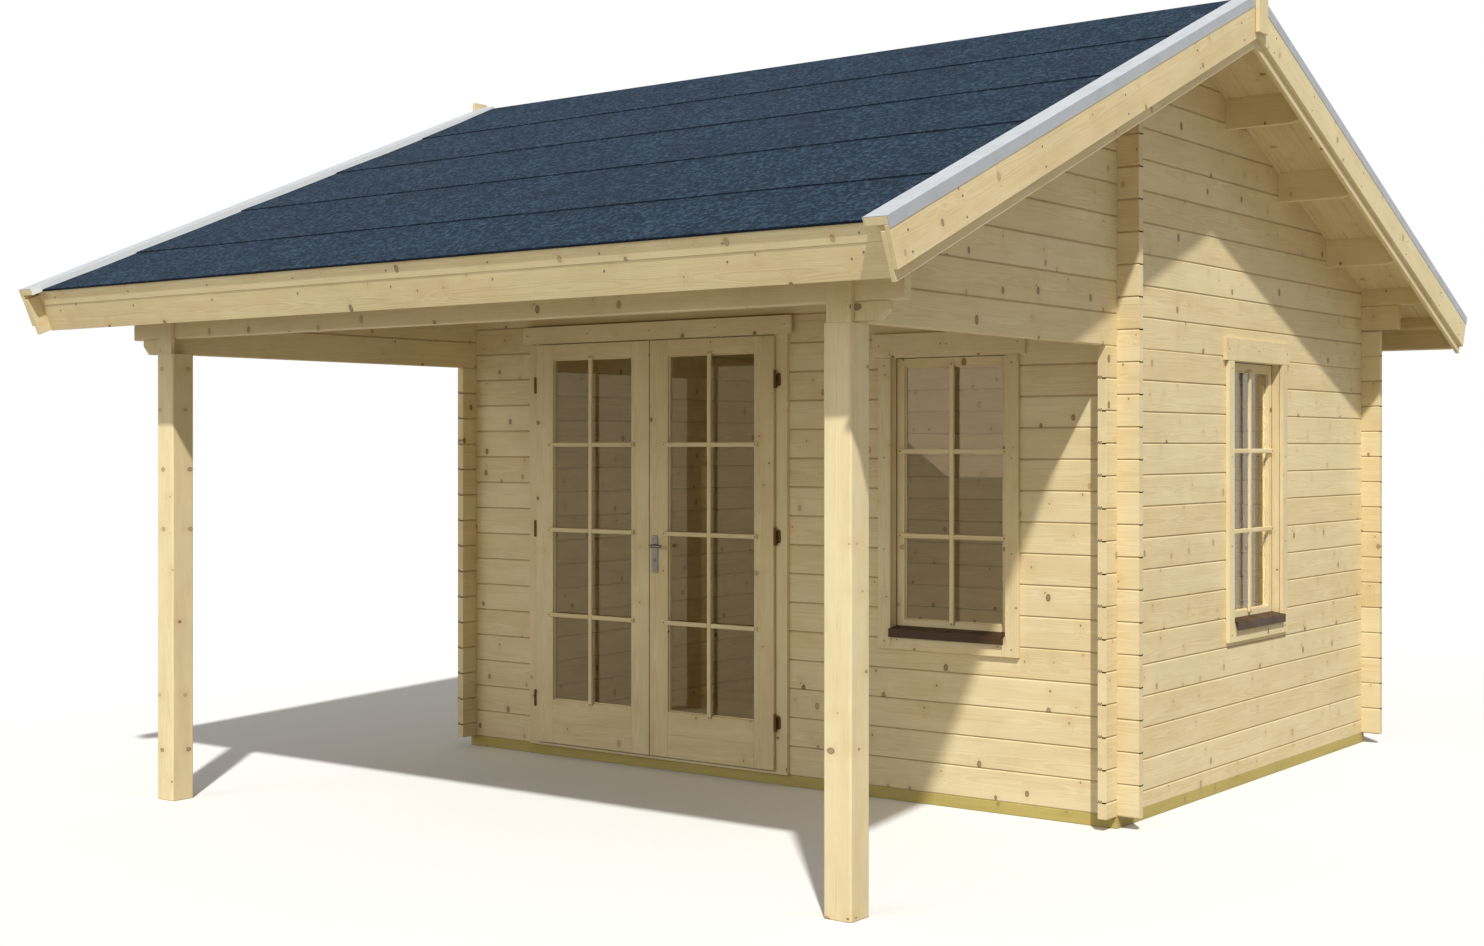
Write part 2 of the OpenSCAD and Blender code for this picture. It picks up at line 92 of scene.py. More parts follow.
class Tree:
    """Builds the nodes of a material or a world. Each call returns a socket that the next call can take."""

    def __init__(self, owner):
        owner.use_nodes = True
        self.owner = owner
        self.nodes = owner.node_tree.nodes
        self.links = owner.node_tree.links
        self.nodes.clear()

    def put(self, kind, inputs=(), **settings):
        node = self.nodes.new("ShaderNode" + kind)
        for key, value in settings.items():
            setattr(node, key, value)
        for key, value in dict(inputs).items():
            if isinstance(value, bpy.types.NodeSocket):
                self.links.new(value, node.inputs[key])
            else:
                node.inputs[key].default_value = value
        return node

    def math(self, operation, a, b=0.0):
        return self.put("Math", {0: a, 1: b}, operation=operation).outputs[0]

    def plus(self, a, b):
        return self.math("ADD", a, b)

    def times(self, a, b):
        return self.math("MULTIPLY", a, b)

    def fade(self, value, start, end, low=0.0, high=1.0):
        """Goes smoothly from low at start to high at end."""
        inputs = {0: value, 1: start, 2: end, 3: low, 4: high}
        return self.put("MapRange", inputs, interpolation_type="SMOOTHSTEP").outputs[0]

    def mix(self, share, a, b, blend="MIX"):
        node = self.put("Mix", {0: share, 6: a, 7: b}, data_type="RGBA", blend_type=blend)
        return node.outputs[2]

    def parts(self, vector):
        return self.put("SeparateXYZ", {0: vector}).outputs

    def vector(self, x, y, z):
        return self.put("CombineXYZ", {0: x, 1: y, 2: z}).outputs[0]

    def scaled(self, vector, scales):
        return self.put("VectorMath", {0: vector, 1: scales}, operation="MULTIPLY").outputs[0]

    def noise(self, vector, scale, detail=3.0, rough=0.55):
        inputs = {"Vector": vector, "Scale": scale, "Detail": detail, "Roughness": rough}
        return self.put("TexNoise", inputs).outputs["Fac"]

    def cells(self, vector, scale, dimensions="3D"):
        inputs = {"Vector": vector, "Scale": scale}
        return self.put("TexVoronoi", inputs, voronoi_dimensions=dimensions).outputs

    def place(self):
        return self.put("TexCoord").outputs["Object"]

    def seen(self):
        """1 for rays that show a thing, also in gloss or through glass, and 0 for rays of plain light."""
        path = self.put("LightPath").outputs
        indirect = self.math("MAXIMUM", path["Is Glossy Ray"], path["Is Transmission Ray"])
        return self.math("MAXIMUM", path["Is Camera Ray"], indirect)

    def bump(self, height, depth, strength=1.0):
        return self.put("Bump", {"Height": height, "Distance": depth, "Strength": strength}).outputs[0]

    def shade(self, inputs):
        return self.put("BsdfPrincipled", inputs).outputs[0]

    def finish(self, shader, kind="Material"):
        self.put("Output" + kind, {"Surface": shader})
        return self.owner


def new_material(name):
    return Tree(bpy.data.materials.new(name))


# Materials. Scales are features to the metre, and colours are linear

RINGS = 260.0
FIBRES = (3.0, 160.0, 160.0)
ALONG_GRAIN = 0.22
KNOT_PLACES = 7.0
KNOT_FLAT = 0.7
SMALL_KNOT = 0.026
LARGE_KNOT = 0.105
HALO_TINT = (0.80, 0.56, 0.33, 1)
GRANULES = 420.0
FLAKES = 82.0
CLUMPS = 34.0
PATCHES = 4.0
SCRATCHES = (40.0, 8.0, 900.0)
BRUSH_MARKS = (1500.0, 1500.0, 25.0)


def knots(t, along, across, clear):
    """How much of a knot a place holds, and how near it is to one.

    Some cells of a pattern hold a knot, taller than wide. Most are small, and some are dark.
    """
    spots = t.cells(t.vector(along, t.times(across, KNOT_FLAT), 0.0), KNOT_PLACES, "2D")
    chance, size, age = t.parts(spots["Color"])
    present = t.math("GREATER_THAN", chance, clear)
    reach = t.put("MapRange", {0: t.times(size, size), 3: SMALL_KNOT, 4: LARGE_KNOT}).outputs[0]
    inward = t.math("DIVIDE", spots["Distance"], reach)
    rim = t.times(t.fade(inward, 0.45, 0.8), t.fade(inward, 1.0, 0.85))
    core = t.plus(t.times(t.fade(inward, 1.0, 0.7), 0.72), t.times(rim, 0.28))
    core = t.times(t.times(present, core), t.fade(age, 0.15, 0.75, 0.42, 0.95))
    halo = t.times(present, t.fade(spots["Distance"], 0.30, 0.04))
    return core, halo


def year_rings(t, across, depth, wobble, halo):
    """Late wood in rings round a pith beside the piece, which bend round the knots."""
    square = t.plus(t.times(across, across), t.times(depth, depth))
    radius = t.plus(t.math("SQRT", square), t.times(wobble, 0.030))
    radius = t.plus(radius, t.times(halo, 0.010))
    ring = t.math("FRACT", t.times(radius, RINGS))
    return t.times(t.fade(ring, 0.25, 0.9), t.fade(ring, 1.0, 0.93))


def wood(name, pale, late, knot, rough, clear=0.55):
    """Softwood: year rings, fibres, knots, and a tone for each piece.

    It reads three attributes of the mesh: grain, the place along, across and into the piece, tone, and
    a mark on the underside of each joint, where the wood is darkened as painted shade. The share of places
    without a knot is clear.
    """
    t = new_material(name)
    grain = t.put("Attribute", attribute_name="grain").outputs["Vector"]
    tone = t.put("Attribute", attribute_name="tone").outputs["Fac"]
    joint_shade = t.put("Attribute", attribute_name="joint_shade").outputs["Fac"]
    along, across, depth = t.parts(grain)
    long_way = t.vector(t.times(along, ALONG_GRAIN), across, depth)
    wobble = t.math("SUBTRACT", t.noise(long_way, 6.0, 2.0), 0.5)
    core, halo = knots(t, along, across, clear)
    band = year_rings(t, across, depth, wobble, halo)
    fibre = t.noise(t.scaled(grain, FIBRES), 1.0, 4.0, 0.7)
    broad = t.noise(long_way, 11.0, 4.0, 0.65)
    # Colour
    share = t.times(band, 0.24)
    share = t.plus(share, t.fade(fibre, 0.35, 0.75, -0.06, 0.16))
    share = t.plus(share, t.fade(broad, 0.3, 0.7, -0.08, 0.22))
    share = t.plus(share, t.fade(tone, 0.0, 1.0, -0.08, 0.22))
    color = t.mix(t.put("Clamp", {0: share}).outputs[0], pale, late)
    color = t.mix(t.times(halo, 0.16), color, HALO_TINT, "MULTIPLY")
    color = t.mix(core, color, knot)
    # Painted shade: the faces under each joint are darkened towards the knot colour
    color = t.mix(t.times(joint_shade, 0.40), color, knot)
    worn = t.fade(t.noise(t.place(), 2.3, 5.0, 0.7), 0.35, 0.75, 1.0, 0.92)
    color = t.mix(1.0, color, t.put("CombineColor", {0: worn, 1: worn, 2: worn}).outputs[0], "MULTIPLY")
    # Relief and shine
    height = t.plus(t.times(band, -0.5), t.times(fibre, 0.6))
    height = t.math("SUBTRACT", height, t.times(core, 0.8))
    shine = t.plus(t.fade(fibre, 0.3, 0.7, rough - 0.06, rough + 0.12), t.times(core, -0.1))
    return t.finish(t.shade({"Base Color": color, "Roughness": shine, "Normal": t.bump(height, 0.0007, 0.55),
                             "Specular IOR Level": 0.3}))


def felt(name, dark, light, speck):
    """Bitumen felt: slate granules of several blues, pressed unevenly into the sheet."""
    t = new_material(name)
    place = t.place()
    grains = t.cells(place, GRANULES)
    flakes = t.cells(place, FLAKES)
    tint, shade, _ = t.parts(flakes["Color"])
    clumps = t.noise(place, CLUMPS, 6.0, 0.85)
    patches = t.noise(place, PATCHES, 4.0, 0.6)
    color = t.mix(t.fade(tint, 0.1, 0.95), dark, light)
    color = t.mix(t.fade(clumps, 0.50, 0.62, 0.0, 0.8), color, speck)
    color = t.mix(t.times(t.math("GREATER_THAN", shade, 0.84), 0.7), color, speck)
    color = t.mix(t.fade(patches, 0.35, 0.75, 0.0, 0.4), color, dark)
    height = t.plus(t.times(grains["Distance"], -0.6), t.times(clumps, 1.4))
    return t.finish(t.shade({"Base Color": color, "Roughness": t.fade(clumps, 0.3, 0.7, 0.80, 0.98),
                             "Normal": t.bump(height, 0.0022, 0.9), "Specular IOR Level": 0.14}))


def painted(name, color, dust, rough, inner=None):
    """Painted sheet metal: a slightly uneven coat with dust and fine scratches.

    The caps' inner sides, beside the felt, can have a whiter colour of their own.
    """
    t = new_material(name)
    place = t.place()
    cloud = t.noise(place, 9.0, 5.0, 0.65)
    peel = t.noise(place, 480.0, 2.0)
    scratch = t.noise(t.scaled(place, SCRATCHES), 1.0, 2.0)
    base = t.mix(t.fade(cloud, 0.42, 0.78, 0.0, 0.55), color, dust)
    base = t.mix(t.fade(scratch, 0.68, 0.80, 0.0, 0.25), base, dust)
    if inner:
        aside = t.math("ABSOLUTE", t.parts(place)[0])
        base = t.mix(t.math("LESS_THAN", aside, CAP_INNER), base, inner)
    shine = t.fade(cloud, 0.3, 0.75, rough - 0.06, rough + 0.18)
    return t.finish(t.shade({"Base Color": base, "Roughness": shine, "Normal": t.bump(peel, 0.0002, 0.35),
                             "Specular IOR Level": 0.22}))


def steel(name, dark, light):
    """Brushed steel, with the brush marks along the plate."""
    t = new_material(name)
    marks = t.noise(t.scaled(t.place(), BRUSH_MARKS), 1.0, 3.0)
    smudge = t.noise(t.place(), 35.0, 3.0)
    color = t.mix(t.fade(marks, 0.3, 0.7), dark, light)
    return t.finish(t.shade({"Base Color": color, "Metallic": 1.0, "Normal": t.bump(marks, 0.0001, 0.4),
                             "Roughness": t.fade(smudge, 0.3, 0.7, 0.26, 0.42)}))


def glass(name, tint, gloss, shadow_tint):
    """Clear panes with a faint film, which let the light of lamps through."""
    t = new_material(name)
    film = t.noise(t.place(), 6.0, 5.0, 0.7)
    pane = t.shade({"Base Color": tint, "Transmission Weight": 1.0, "IOR": 1.45, "Specular Tint": gloss,
                    "Roughness": t.fade(film, 0.4, 0.8, 0.0, 0.03)})
    open_way = t.put("BsdfTransparent", {"Color": shadow_tint}).outputs[0]
    shadow = t.put("LightPath").outputs["Is Shadow Ray"]
    return t.finish(t.put("MixShader", {0: shadow, 1: pane, 2: open_way}).outputs[0])


PALE = (0.850, 0.722, 0.440, 1)
LATE = (0.660, 0.480, 0.225, 1)
KNOT = (0.120, 0.056, 0.021, 1)
GREEN_PALE = (0.560, 0.450, 0.150, 1)
GREEN_LATE = (0.380, 0.300, 0.070, 1)
GREEN_KNOT = (0.270, 0.200, 0.055, 1)
# Near-black wood for the strips that stand for the shade inside gaps: painted shade
GAP_SHADE_PALE = (0.022, 0.013, 0.005, 1)
GAP_SHADE_LATE = (0.012, 0.007, 0.003, 1)
GAP_SHADE_KNOT = (0.012, 0.006, 0.002, 1)
NAVY = (0.0028, 0.0100, 0.0225, 1)
SLATE = (0.0060, 0.0198, 0.0420, 1)
SPECK = (0.050, 0.090, 0.136, 1)
# Bitumen, darkened further as painted shade under the strips' free edges
TAR_SHADE = (0.0012, 0.0025, 0.005, 1)
TAR_SHADE_LIGHT = (0.003, 0.006, 0.011, 1)
CAP_GREY = (0.450, 0.475, 0.510, 1)
CAP_DUST = (0.380, 0.395, 0.410, 1)
CAP_WHITE = (0.950, 0.960, 0.970, 1)
SILL_BROWN = (0.058, 0.026, 0.0095, 1)
SILL_DUST = (0.085, 0.046, 0.023, 1)
IRON_BROWN = (0.150, 0.082, 0.024, 1)
IRON_DUST = (0.190, 0.112, 0.046, 1)
STEEL_DARK = (0.120, 0.108, 0.096, 1)
STEEL_LIGHT = (0.230, 0.206, 0.184, 1)
PANE_TINT = (1.0, 0.96, 0.86, 1)
PANE_GLOSS = (1.0, 0.78, 0.50, 1)
PANE_SHADOW = (1.0, 0.99, 0.97, 1)

MATERIALS = {
    "pine": wood("pine", PALE, LATE, KNOT, 0.62),
    "treated_pine": wood("treated_pine", GREEN_PALE, GREEN_LATE, GREEN_KNOT, 0.70),
    "felt": felt("felt", NAVY, SLATE, SPECK),
    "metal_trim": painted("metal_trim", CAP_GREY, CAP_DUST, 0.38, CAP_WHITE),
    "sill_metal": painted("sill_metal", SILL_BROWN, SILL_DUST, 0.46),
    "iron": painted("iron", IRON_BROWN, IRON_DUST, 0.55),
    "handle_steel": steel("brushed_steel", STEEL_DARK, STEEL_LIGHT),
    "glass": glass("glass", PANE_TINT, PANE_GLOSS, PANE_SHADOW),
}
CLEAR_PINE = wood("clear_pine", PALE, LATE, KNOT, 0.62, clear=1.0)
# Painted shade: the dark strips in the gaps of the log ends and round the sashes
GAP_SHADE = wood("gap_shade", GAP_SHADE_PALE, GAP_SHADE_LATE, GAP_SHADE_KNOT, 0.85)
BITUMEN_AND_SHADE = felt("bitumen_and_shade", TAR_SHADE, TAR_SHADE_LIGHT, NAVY)


# Meshes

FLAT_ANGLE = math.radians(0.5)


def solid(node):
    """A CAD node's shape as whole faces, welded and without the lines across flat faces."""
    bm = bmesh.new()
    bm.from_mesh(frame["nodes"][node].data)
    bmesh.ops.remove_doubles(bm, verts=bm.verts, dist=WELD)
    bmesh.ops.dissolve_limit(bm, angle_limit=FLAT_ANGLE, verts=bm.verts, edges=bm.edges)
    return bm


def clipped(source, low=(None,) * 3, high=(None,) * 3):
    """A copy of a shape, cut down to the space between two corners, with its cuts closed."""
    bm = source.copy()
    for limits, sign in ((low, -1), (high, 1)):
        for axis, limit in enumerate(limits):
            if limit is None:
                continue
            point, normal = Vector(), Vector()
            point[axis], normal[axis] = limit, sign
            geom = bm.verts[:] + bm.edges[:] + bm.faces[:]
            bmesh.ops.bisect_plane(bm, geom=geom, dist=ON_CUT, plane_co=point, plane_no=normal,
                                   clear_outer=True)
            bmesh.ops.holes_fill(bm, edges=[e for e in bm.edges if e.is_boundary], sides=0)
    return bm


def joined(shapes):
    """One shape from several, which are used up."""
    whole = bmesh.new()
    for bm in shapes:
        mesh = bpy.data.meshes.new("part")
        bm.to_mesh(mesh)
        bm.free()
        whole.from_mesh(mesh)
        bpy.data.meshes.remove(mesh)
    return whole


def soften(bm, width=EDGE, segments=2, sharp=25.0, skip=()):
    """Rounds the edges of a shape as a plane or sandpaper does, but not those in the planes to skip."""
    edges = [e for e in bm.edges if e.is_manifold and math.degrees(e.calc_face_angle(0.0)) > sharp]
    for axis, place in skip:
        edges = [e for e in edges if max(abs(v.co[axis] - place) for v in e.verts) > ON_PLANE]
    bmesh.ops.bevel(bm, geom=edges, offset=width, segments=segments, profile=0.5, affect="EDGES",
                    clamp_overlap=True)
    return bm


def islands(bm):
    """Lists of faces that hang together, in the order of their first face."""
    bm.faces.index_update()
    seen = set()
    groups = []
    for first in bm.faces:
        if first in seen:
            continue
        seen.add(first)
        group = [first]
        for face in group:
            near = {other for e in face.edges for other in e.link_faces} - seen
            group += sorted(near, key=lambda f: f.index)
            seen |= near
        groups.append(group)
    return groups


def separate(bm):
    """The loose parts of a shape, each as a shape of its own. The shape is used up."""
    parts = []
    for faces in islands(bm):
        keep = {f.index for f in faces}
        part = bm.copy()
        bmesh.ops.delete(part, geom=[f for f in part.faces if f.index not in keep], context="FACES")
        parts.append(part)
    bm.free()
    return parts


def corners(bm):
    """The least and the greatest corner of a shape."""
    low = Vector(min(v.co[a] for v in bm.verts) for a in range(3))
    high = Vector(max(v.co[a] for v in bm.verts) for a in range(3))
    return low, high


def boxes(node):
    """The least and the greatest corner of each loose part of a node."""
    for part in separate(solid(node)):
        low, high = corners(part)
        part.free()
        yield low, high


def block(low, high):
    """A box between two corners."""
    bm = bmesh.new()
    bmesh.ops.create_cube(bm, size=1.0)
    for v in bm.verts:
        v.co = Vector(h if c > 0 else l for c, l, h in zip(v.co, low, high))
    return bm


def prism(outline, start, end):
    """A straight piece: an outline of points, from start(point) to end(point)."""
    bm = bmesh.new()
    first = [bm.verts.new(start(p)) for p in outline]
    last = [bm.verts.new(end(p)) for p in outline]
    bm.faces.new(first)
    bm.faces.new(reversed(last))
    for k in range(len(outline)):
        m = (k + 1) % len(outline)
        bm.faces.new((first[m], first[k], last[k], last[m]))
    return bm


def slope_basis(y):
    """Directions across, down and out of the slope on the side of the ridge where y is."""
    side = 1.0 if y > 0 else -1.0
    down = Vector((0.0, side * math.cos(PITCH), -math.sin(PITCH)))
    out = Vector((0.0, side * math.sin(PITCH), math.cos(PITCH)))
    return RIGHT, down, out


def slope_point(x, s, n, side=-1):
    """A point down a slope by s and out from the underside of its boards by n."""
    return Vector((x, side * (s * math.cos(PITCH) + n * math.sin(PITCH)),
                   RIDGE_Z - s * math.sin(PITCH) + n * math.cos(PITCH)))


# Grain: how far pieces are apart in the wood, and where their pith lies, in metres

GRAIN_RUN = 40.0
PITH_ASIDE = 0.045
PITH_NEAR = 0.03
PITH_FAR = 0.09
NARROW = 0.72


def longest_first(points, basis):
    """The length, middle and direction of some points in each way, the longest first."""
    spans = []
    for axis in basis:
        reach = [p.dot(axis) for p in points]
        spans.append((max(reach) - min(reach), (max(reach) + min(reach)) / 2, axis))
    spans.sort(key=lambda s: -s[0])
    return spans


def paint_grain(bm, sloping=False, wall=None, phase=0.0):
    """Gives each separate piece its own grain along its longest side, and its own tone.

    In a wall, the pieces of one course share theirs, so that a log runs on from one part to the next.
    """
    grain = bm.loops.layers.float_vector.new("grain")
    tone = bm.faces.layers.float.new("tone")
    bm.normal_update()
    for faces in islands(bm):
        points = [v.co for f in faces for v in f.verts]
        middle_y = sum(p.y for p in points) / len(points)
        basis = slope_basis(middle_y) if sloping else (RIGHT, BACK, UP)
        (_, _, along), (_, mid_across, across), (_, mid_depth, depth) = longest_first(points, basis)
        draw = RANDOM
        if wall:
            course = math.floor((mid_across - BEAM_TOP) / LOG_H - phase)
            mid_across = BEAM_TOP + (course + phase + 0.5) * LOG_H
            draw = random.Random(f"{wall} {course}")
        start = draw.uniform(0.0, GRAIN_RUN)
        aside = draw.uniform(-PITH_ASIDE, PITH_ASIDE)
        pith = draw.choice((-1, 1)) * draw.uniform(PITH_NEAR, PITH_FAR)
        own_tone = draw.random()
        for f in faces:
            f[tone] = own_tone
            narrow = abs(f.normal.dot(across)) > NARROW
            for loop in f.loops:
                p = loop.vert.co
                wide_way = p.dot(across) - mid_across + aside
                deep_way = p.dot(depth) - mid_depth + pith
                # Knots lie flat in a face, so a narrow face swaps the two ways. The rings don't change by it
                ways = (deep_way, wide_way) if narrow else (wide_way, deep_way)
                loop[grain] = (p.dot(along) + start, *ways)


def mark_joint_shade(bm, levels):
    """Marks the faces that look down into the joints at some levels, which the wood darkens as painted
    shade.
    """
    joint_shade = bm.faces.layers.float.new("joint_shade")
    bmesh.ops.recalc_face_normals(bm, faces=bm.faces)
    for f in bm.faces:
        z = f.calc_center_median().z
        slants_down = -0.98 < f.normal.z < -0.3
        if slants_down and min(abs(z - level) for level in levels) < GROOVE:
            f[joint_shade] = 1.0


# Pieces

def piece(bm, name, body, slot, material=None, replaced=()):
    """Makes a shape into an object that rides on a body and takes a slot's finish."""
    bmesh.ops.recalc_face_normals(bm, faces=bm.faces)
    mesh = bpy.data.meshes.new(name)
    bm.to_mesh(mesh)
    bm.free()
    mesh.materials.append(material or MATERIALS[slot])
    obj = bpy.data.objects.new(name, mesh)
    bpy.context.scene.collection.objects.link(obj)
    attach(obj, body)
    if replaced:
        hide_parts(*replaced)


def wooden(shapes, node, name, sloping=False, edge=EDGE):
    """Softens the boards that make up a node, dresses them in wood, and puts them in the node's place."""
    bm = joined([soften(shape, edge) for shape in shapes])
    paint_grain(bm, sloping)
    piece(bm, name, BODY_OF[node], SLOT_OF[node], replaced=[node])


# Log walls: every course is a log of its own, which runs on under the windows

COURSES = 30
LEAST_COURSE = 0.002
FRONT_SPLITS = [(0, corner.x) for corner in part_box("front_wall_below_window")]
RIGHT_SPLITS = [(1, corner.y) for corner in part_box("right_wall_below_window")]


def course_lines(phase):
    """The levels of the joints between courses. The side walls stand half a log higher than the others."""
    return [BEAM_TOP + (k + phase) * LOG_H for k in range(COURSES)]


def logs(node, wall, phase, splits=()):
    """The logs of one part of a wall. Their ends stay sharp where the wall is split beside a window."""
    whole = solid(node)
    low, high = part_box(node)
    cuts = [z for z in course_lines(phase) if low.z + LEAST_COURSE < z < high.z - LEAST_COURSE]
    levels = [None] + cuts + [None]
    courses = [clipped(whole, (None, None, a), (None, None, b)) for a, b in zip(levels, levels[1:])]
    whole.free()
    bm = joined([soften(course, skip=splits) for course in courses])
    paint_grain(bm, wall=wall, phase=phase)
    mark_joint_shade(bm, cuts)
    piece(bm, node + "_logs", BODY_OF[node], SLOT_OF[node], replaced=[node])


for part in ("left", "middle", "right", "below_window", "upper"):
    logs("front_wall_" + part, "front", 0.0, FRONT_SPLITS)
for part in ("right_wall_front", "right_wall_rear", "right_wall_below_window", "right_gable"):
    logs(part, "right", 0.5, RIGHT_SPLITS)
for part in ("left_wall", "left_gable"):
    logs(part, "left", 0.5)
for part in ("rear_wall", "front_beam"):
    logs(part, part, 0.0)

# Plain timbers and boards, one solid each
for timber in ("foundation_beams", "left_post", "right_post", "post_heads", "ridge_purlin", "purlin_set",
               "trim_boards", "apex_boards"):
    wooden(separate(solid(timber)), timber, timber + "_timber", edge=WORN_EDGE)
for board in ("outer_verge_boards", "inner_verge_boards", "edge_strips", "eave_boards", "eave_trims",
              "eave_battens"):
    wooden(separate(solid(board)), board, board + "_timber", sloping=True, edge=WORN_EDGE)


# Roof boards, laid down the slope, with a V joint on their underside

def roof_boards(node, side):
    low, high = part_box(node)
    length = (max(-low.y, high.y) - BOARD_T * math.sin(PITCH)) / math.cos(PITCH)
    count = round((high.x - low.x) / BOARD_W)
    width = (high.x - low.x) / count
    shapes = []
    for k in range(count):
        x0 = low.x + k * width
        x1 = x0 + width
        outline = [(x0, JOINT), (x0 + JOINT, SEAT), (x1 - JOINT, SEAT), (x1, JOINT),
                   (x1, BOARD_T), (x0, BOARD_T)]
        shapes.append(prism(outline, lambda p: slope_point(p[0], -p[1] * math.tan(PITCH), p[1], side),
                            lambda p: slope_point(p[0], length, p[1], side)))
    bm = joined(shapes)
    paint_grain(bm, sloping=True)
    piece(bm, node + "_boards", "cabin", "pine", replaced=[node])


roof_boards("front_deck", -1)
roof_boards("rear_deck", 1)


# Floor boards across the room, cut round the door frame

def floor_boards():
    low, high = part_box("floor")
    frame_low, frame_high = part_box("door_frame")
    count = round((high.y - frame_high.y) / BOARD_W)
    width = (high.y - frame_high.y) / count
    shapes = [block((low.x, low.y, low.z), (frame_low.x, frame_high.y, high.z)),
              block((frame_high.x, low.y, low.z), (high.x, frame_high.y, high.z))]
    for k in range(count):
        y = frame_high.y + k * width
        shapes.append(block((low.x, y, low.z), (high.x, y + width, high.z)))
    wooden(shapes, "floor", "floor_planks", edge=FLOOR_EDGE)


floor_boards()


# Felt strips, each with a free lower edge that lies on the next

FELT_T = 0.0034
FELT_STEP = 0.035
FELT_FIRST = 0.580
FELT_PACE = 0.662
FULL_STRIPS = 4
EAVE_BACK = 0.003
FOLD = 0.014
LAP = 0.07
DECK_TOP = 0.0194
FREE_LIFT = 0.0042
SWELL = 0.0008
RIPPLE = 0.0003
STRAY = 0.0020

# Unevenness of the felt: waves to the metre across and down, and how far the strips' patterns lie apart
WAVES = (3.1, 4.3, 5.0)
RIPPLES = (11.0, 2.0, 3.0)

# The bitumen below a free edge, and the lip of it at the eave, darker as painted shade under the edge
SEAM_SINK = 0.0005
SEAM_BACK = 0.004
SEAM_OUT = 0.0070
SEAM_FOOT = 0.0005
SEAM_RISE = 0.0025
LIP_OUT = 0.0025
LIP_DROP = 0.0040
LIP_FRONT = 0.0022
LIP_RISE = 0.0028


def uneven(x, s, k, side, scales):
    """A smooth unevenness about 0, another one for each strip and each side of the roof."""
    across, down, apart = scales
    return noise.noise(Vector((x * across, s * down, k * apart + side)))


def felt_sheet(low_x, high_x, top, end, k, side):
    """One strip: two wavy grids, which rise towards the free lower edge, with a rim between them.

    The first strip also rises to the ridge and ends plumb there.
    """
    columns = round((high_x - low_x) / FELT_STEP)
    rows = round((end - top) / FELT_STEP)

    def point(r, c, lift):
        x = low_x + (high_x - low_x) * c / columns
        t = r / rows
        s = top + (end - top) * t
        wave = uneven(x, s, k, side, WAVES)
        ripple = uneven(x, s, k, side, RIPPLES)
        free = max(0.0, t * 2.0 - 1.0)
        swell = SWELL * wave * math.sin(math.pi * t)
        n = DECK_TOP + lift + FREE_LIFT * free + swell + RIPPLE * (ripple + 1.0) * free
        if k == 0:
            n += FOLD * (1.0 - t)
            s -= n * math.tan(PITCH) * (1.0 - t)
        return slope_point(x, s + STRAY * ripple * free, n, side)

    bm = bmesh.new()
    upper, lower = [[[bm.verts.new(point(r, c, lift)) for c in range(columns + 1)] for r in range(rows + 1)]
                    for lift in (FELT_T, 0.0)]
    for r, c in product(range(rows), range(columns)):
        bm.faces.new((upper[r][c], upper[r][c + 1], upper[r + 1][c + 1], upper[r + 1][c]))
        bm.faces.new((lower[r][c], lower[r + 1][c], lower[r + 1][c + 1], lower[r][c + 1]))
    rim = [(r, 0) for r in range(rows)] + [(rows, c) for c in range(columns)]
    rim += [(r, columns) for r in range(rows, 0, -1)] + [(0, c) for c in range(columns, 0, -1)]
    for (r0, c0), (r1, c1) in zip(rim, rim[1:] + rim[:1]):
        bm.faces.new((upper[r0][c0], lower[r0][c0], lower[r1][c1], upper[r1][c1]))
    return bm


def seam_outline(end, at_eave):
    """The bitumen that shows below a free edge, darkened as painted shade: a low wedge on the next strip, or
    a lip at the eave.
    """
    n = DECK_TOP + FELT_T - SEAM_SINK
    if at_eave:
        out, drop = end + LIP_OUT, n - LIP_DROP
        return [(end, drop), (out, drop), (out, n + LIP_FRONT), (end, n + LIP_RISE)]
    out = end + SEAM_OUT
    return [(end - SEAM_BACK, n), (out, n), (out, n + SEAM_FOOT), (end, n + SEAM_RISE)]


def felt_strips(node, side):
    """Strips from the ridge to the eave, and the bitumen along their lower edges, dark with painted shade.
    """
    low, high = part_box(node)
    length = (max(-low.y, high.y) - DECK_TOP * math.sin(PITCH)) / math.cos(PITCH) - EAVE_BACK
    ends = [FELT_FIRST + k * FELT_PACE for k in range(FULL_STRIPS)] + [length]
    sheets, seams = [], []
    for k, end in enumerate(ends):
        top = ends[k - 1] - LAP if k else 0.0
        sheets.append(felt_sheet(low.x, high.x, top, end, k, side))
        seams.append(prism(seam_outline(end, end == length), lambda p: slope_point(low.x, *p, side),
                           lambda p: slope_point(high.x, *p, side)))
    piece(joined(sheets), node + "_strips", "cabin", "felt", replaced=[node])
    piece(joined(seams), node + "_seams", "cabin", "felt", BITUMEN_AND_SHADE)


felt_strips("front_felt", -1)
felt_strips("rear_felt", 1)


# Joinery: jambs, stiles and rails are cut from the solid and fitted together

FRAME_W = 0.024
SASH_W = 0.042
JAMB_W = 0.072


def wall_axis(low, high):
    """The axis along the wall that a flat piece stands in: 0 for X, 1 for Y."""
    return 0 if high[0] - low[0] > high[1] - low[1] else 1


def frame_joinery(node, name, member):
    """Cuts each frame of a node into two uprights and the two rails between them."""
    shapes = []
    for part in separate(solid(node)):
        low, high = corners(part)
        axis = wall_axis(low, high)
        middle = (low.z + high.z) / 2
        first, last = [None] * 3, [None] * 3
        first[axis], last[axis] = low[axis] + member - SAW, high[axis] - member + SAW
        shapes += [clipped(part, high=first), clipped(part, low=last)]
        first[axis], last[axis] = low[axis] + member + SAW, high[axis] - member - SAW
        shapes.append(clipped(part, first, [*last[:2], middle]))
        shapes.append(clipped(part, [*first[:2], middle], last))
        part.free()
    wooden(shapes, node, name)


frame_joinery("window_frames", "window_frame_joinery", FRAME_W)
frame_joinery("window_sashes", "window_sash_joinery", SASH_W)
frame_joinery("door_frame", "door_frame_joinery", JAMB_W)


